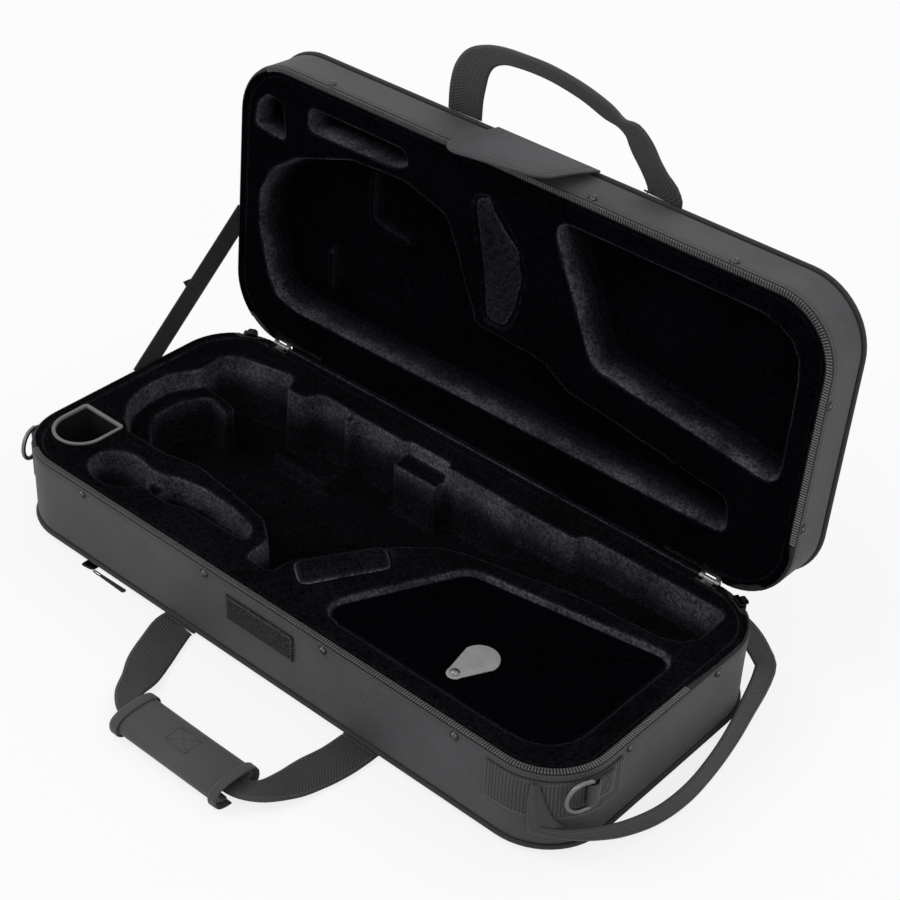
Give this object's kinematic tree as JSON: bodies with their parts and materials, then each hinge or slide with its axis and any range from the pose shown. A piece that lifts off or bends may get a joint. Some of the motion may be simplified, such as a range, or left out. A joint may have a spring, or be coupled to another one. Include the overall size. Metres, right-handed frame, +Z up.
{
  "type": "alto saxophone case",
  "caption": "Long soft-shell instrument case with a hinged zip-round lid, moulded plush recesses, webbing carrying handles and a hook-and-loop closing flap.",
  "frame": {"origin": "centre of the flat underside that the case rests on", "axes": "+X along the case's length, +Y from the front to the hinge side, +Z up"},
  "size_m": [0.6769, 0.481, 0.4398],
  "materials": {
    "nylon": "woven nylon, dark grey",
    "plush": "short black plush with a faint blue sheen",
    "webbing": "ribbed nylon webbing, near black",
    "board": "pressed fibre board, hidden",
    "zip_cloth": "woven zip tape",
    "zip_teeth": "fine plastic coil",
    "rivet_metal": "dark polished metal",
    "ring_metal": "dark brushed metal",
    "steel": "bright steel",
    "cup_plastic": "grey moulded plastic",
    "leather": "grey synthetic leather",
    "grip_cloth": "padded nylon",
    "hook_tape": "hook tape"
  },
  "bodies": {
    "base": {"base_cover": "nylon", "base_frame": "board", "base_insert": "plush", "base_piping": "webbing", "base_zip_tape": "zip_cloth", "base_zip_coil": "zip_teeth", "hook_patch": "hook_tape", "reed_cup": "cup_plastic", "corner_band_right": "webbing", "corner_band_left": "webbing", "ring_keeper_right": "webbing", "ring_keeper_left": "webbing", "hinge_right_base_leaf": "steel", "hinge_left_base_leaf": "steel", "zip_slider_right": "steel", "zip_slider_left": "steel", "pocket_panel": "nylon", "pocket_zip": "zip_teeth", "base_handle_anchor_left": "webbing", "base_handle_anchor_right": "webbing", "stay_strap": "webbing", "base_front_rivet_1": "rivet_metal", "base_front_rivet_2": "rivet_metal", "base_front_rivet_3": "rivet_metal", "base_front_rivet_4": "rivet_metal", "base_right_rivet_1": "rivet_metal", "base_right_rivet_2": "rivet_metal", "base_left_rivet_1": "rivet_metal", "base_left_rivet_2": "rivet_metal"},
    "lid": {"lid_cover": "nylon", "lid_frame": "board", "lid_insert": "plush", "lid_piping": "webbing", "lid_zip_tape": "zip_cloth", "lid_zip_coil": "zip_teeth", "hinge_right_lid_leaf": "steel", "hinge_left_lid_leaf": "steel", "lid_front_rivet_1": "rivet_metal", "lid_front_rivet_2": "rivet_metal", "lid_front_rivet_3": "rivet_metal", "lid_front_rivet_4": "rivet_metal", "lid_right_rivet_1": "rivet_metal", "lid_right_rivet_2": "rivet_metal", "lid_left_rivet_1": "rivet_metal", "lid_left_rivet_2": "rivet_metal"},
    "compartment_lid": {"compartment_panel": "plush", "pull_tab": "leather", "pull_tab_stud": "rivet_metal"},
    "base_carry_handle": {"base_handle": "webbing", "handle_wrap": "grip_cloth"},
    "lid_carry_handle": {"lid_handle": "webbing"},
    "flap": {"front_flap": "nylon"},
    "end_carry_handle": {"end_handle": "webbing"},
    "right_ring": {"d_ring_right": "ring_metal"},
    "left_ring": {"d_ring_left": "ring_metal"},
    "right_zip_pull": {"zip_pull_right": "steel"},
    "left_zip_pull": {"zip_pull_left": "steel"},
    "pocket_runner": {"pocket_slider": "steel"},
    "pocket_tab": {"pocket_pull": "webbing"}
  },
  "joints": [
    {"name": "lid_hinge", "type": "hinge", "parent": "base", "child": "lid", "pos_m": [0, 0.14, 0.0835], "axis": [-1, 0, 0], "range_deg": [-93.4, 0], "deforming": ["stay_strap"]},
    {"name": "compartment_lid_hinge", "type": "hinge", "parent": "base", "child": "compartment_lid", "pos_m": [0.19328, 0.02587, 0.0795], "axis": [-0.987, -0.1605, 0], "range_deg": [0, 95]},
    {"name": "base_handle_swing", "type": "hinge", "parent": "base", "child": "base_carry_handle", "pos_m": [0, -0.144, 0.00295], "axis": [-1, 0, 0], "range_deg": [0, 70]},
    {"name": "lid_handle_swing", "type": "hinge", "parent": "lid", "child": "lid_carry_handle", "pos_m": [0, 0.20646, 0.36405], "axis": [-1, 0, 0], "range_deg": [-55, 117]},
    {"name": "flap_bend", "type": "hinge", "parent": "lid", "child": "flap", "pos_m": [0, 0.20647, 0.36435], "axis": [-1, 0, 0], "range_deg": [-1, 50]},
    {"name": "end_handle_swing", "type": "hinge", "parent": "base", "child": "end_carry_handle", "pos_m": [0.272, 0, 0.057], "axis": [0, -1, 0], "range_deg": [0, 15]},
    {"name": "right_ring_swivel", "type": "hinge", "parent": "base", "child": "right_ring", "pos_m": [0.32166, -0.1059, 0.064], "axis": [0, 0, 1], "range_deg": [0, 100]},
    {"name": "left_ring_swivel", "type": "hinge", "parent": "base", "child": "left_ring", "pos_m": [-0.32166, -0.1059, 0.064], "axis": [0, 0, -1], "range_deg": [0, 100]},
    {"name": "right_zip_pull_swing", "type": "hinge", "parent": "base", "child": "right_zip_pull", "pos_m": [0.28951, 0.137, 0.0855], "axis": [0.891, -0.454, 0], "range_deg": [0, 100]},
    {"name": "left_zip_pull_swing", "type": "hinge", "parent": "base", "child": "left_zip_pull", "pos_m": [-0.28951, 0.137, 0.0855], "axis": [0.891, 0.454, 0], "range_deg": [0, 100]},
    {"name": "pocket_slide", "type": "slide", "parent": "base", "child": "pocket_runner", "axis": [1, 0, 0], "range_m": [0, 0.41]},
    {"name": "pocket_pull_swing", "type": "hinge", "parent": "pocket_runner", "child": "pocket_tab", "pos_m": [-0.201, -0.1455, 0.001], "axis": [0, -1, 0], "range_deg": [0, 100]}
  ]
}
